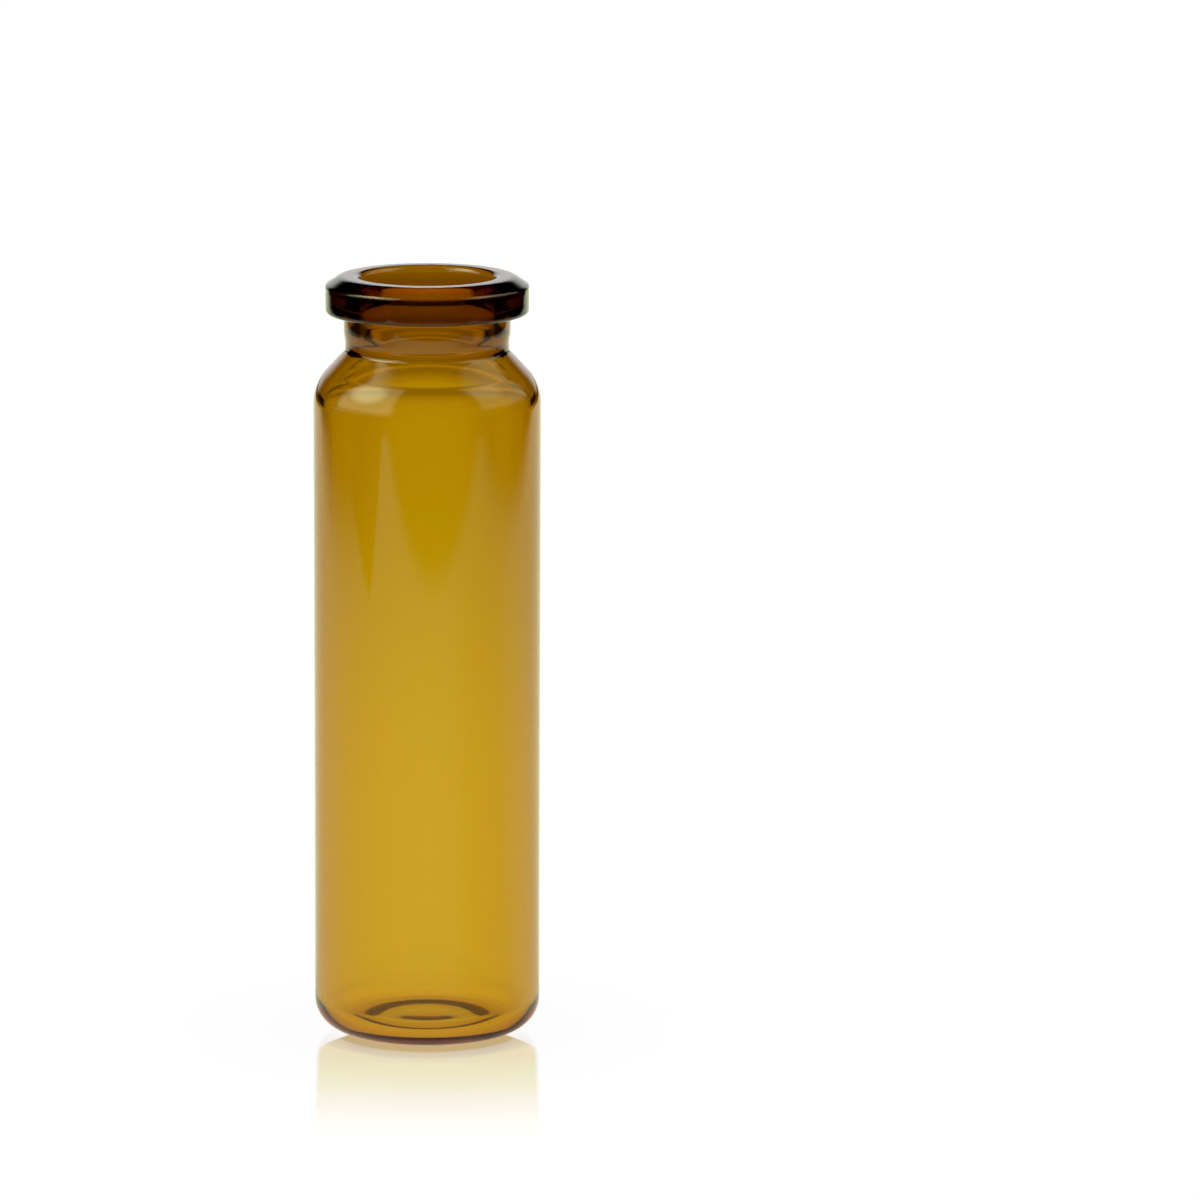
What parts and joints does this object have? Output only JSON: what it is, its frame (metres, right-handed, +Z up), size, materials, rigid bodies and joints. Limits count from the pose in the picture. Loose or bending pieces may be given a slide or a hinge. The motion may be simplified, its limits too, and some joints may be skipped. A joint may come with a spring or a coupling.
{
  "type": "glass sample vial",
  "caption": "Amber glass sample vial: a straight tube with a rounded shoulder, a short neck, a thick crimp crown around an open mouth, and a gently hollowed base.",
  "frame": {"origin": "centre of the standing ring, on the surface that the vial stands on", "axes": "+Z up along the vial's axis, out of the mouth; X and Y are alike, because the vial is round"},
  "size_m": [0.0224, 0.0224, 0.076],
  "materials": {
    "amber_glass": "clear amber tubing glass, fire-polished"
  },
  "bodies": {
    "root": {"vial": "amber_glass"}
  },
  "joints": []
}
